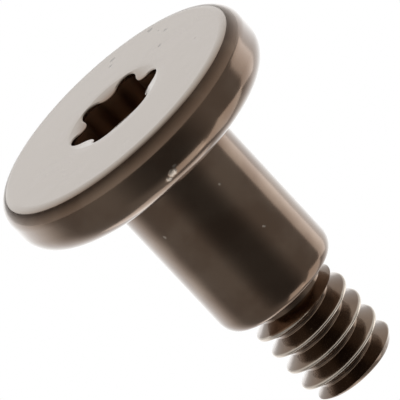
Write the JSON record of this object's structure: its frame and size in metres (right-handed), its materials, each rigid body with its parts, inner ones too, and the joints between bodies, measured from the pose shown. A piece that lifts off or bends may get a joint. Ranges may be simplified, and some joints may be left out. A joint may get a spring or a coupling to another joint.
{
  "type": "shoulder bolt",
  "caption": "One-piece shoulder bolt: low flat head with a six-lobe drive recess, plain bearing shoulder, neck relief and short coarse right-hand thread.",
  "frame": {"origin": "centre of the flat drive face, on which the bolt stands", "axes": "+Z along the bolt's axis from the drive face to the thread's tip; +X through one lobe of the drive recess"},
  "size_m": [0.0138, 0.0138, 0.0169],
  "materials": {
    "blackened_steel": "smooth glossy dark brown-black oxide on steel"
  },
  "bodies": {
    "root": {"shoulder_bolt": "blackened_steel"}
  },
  "joints": []
}
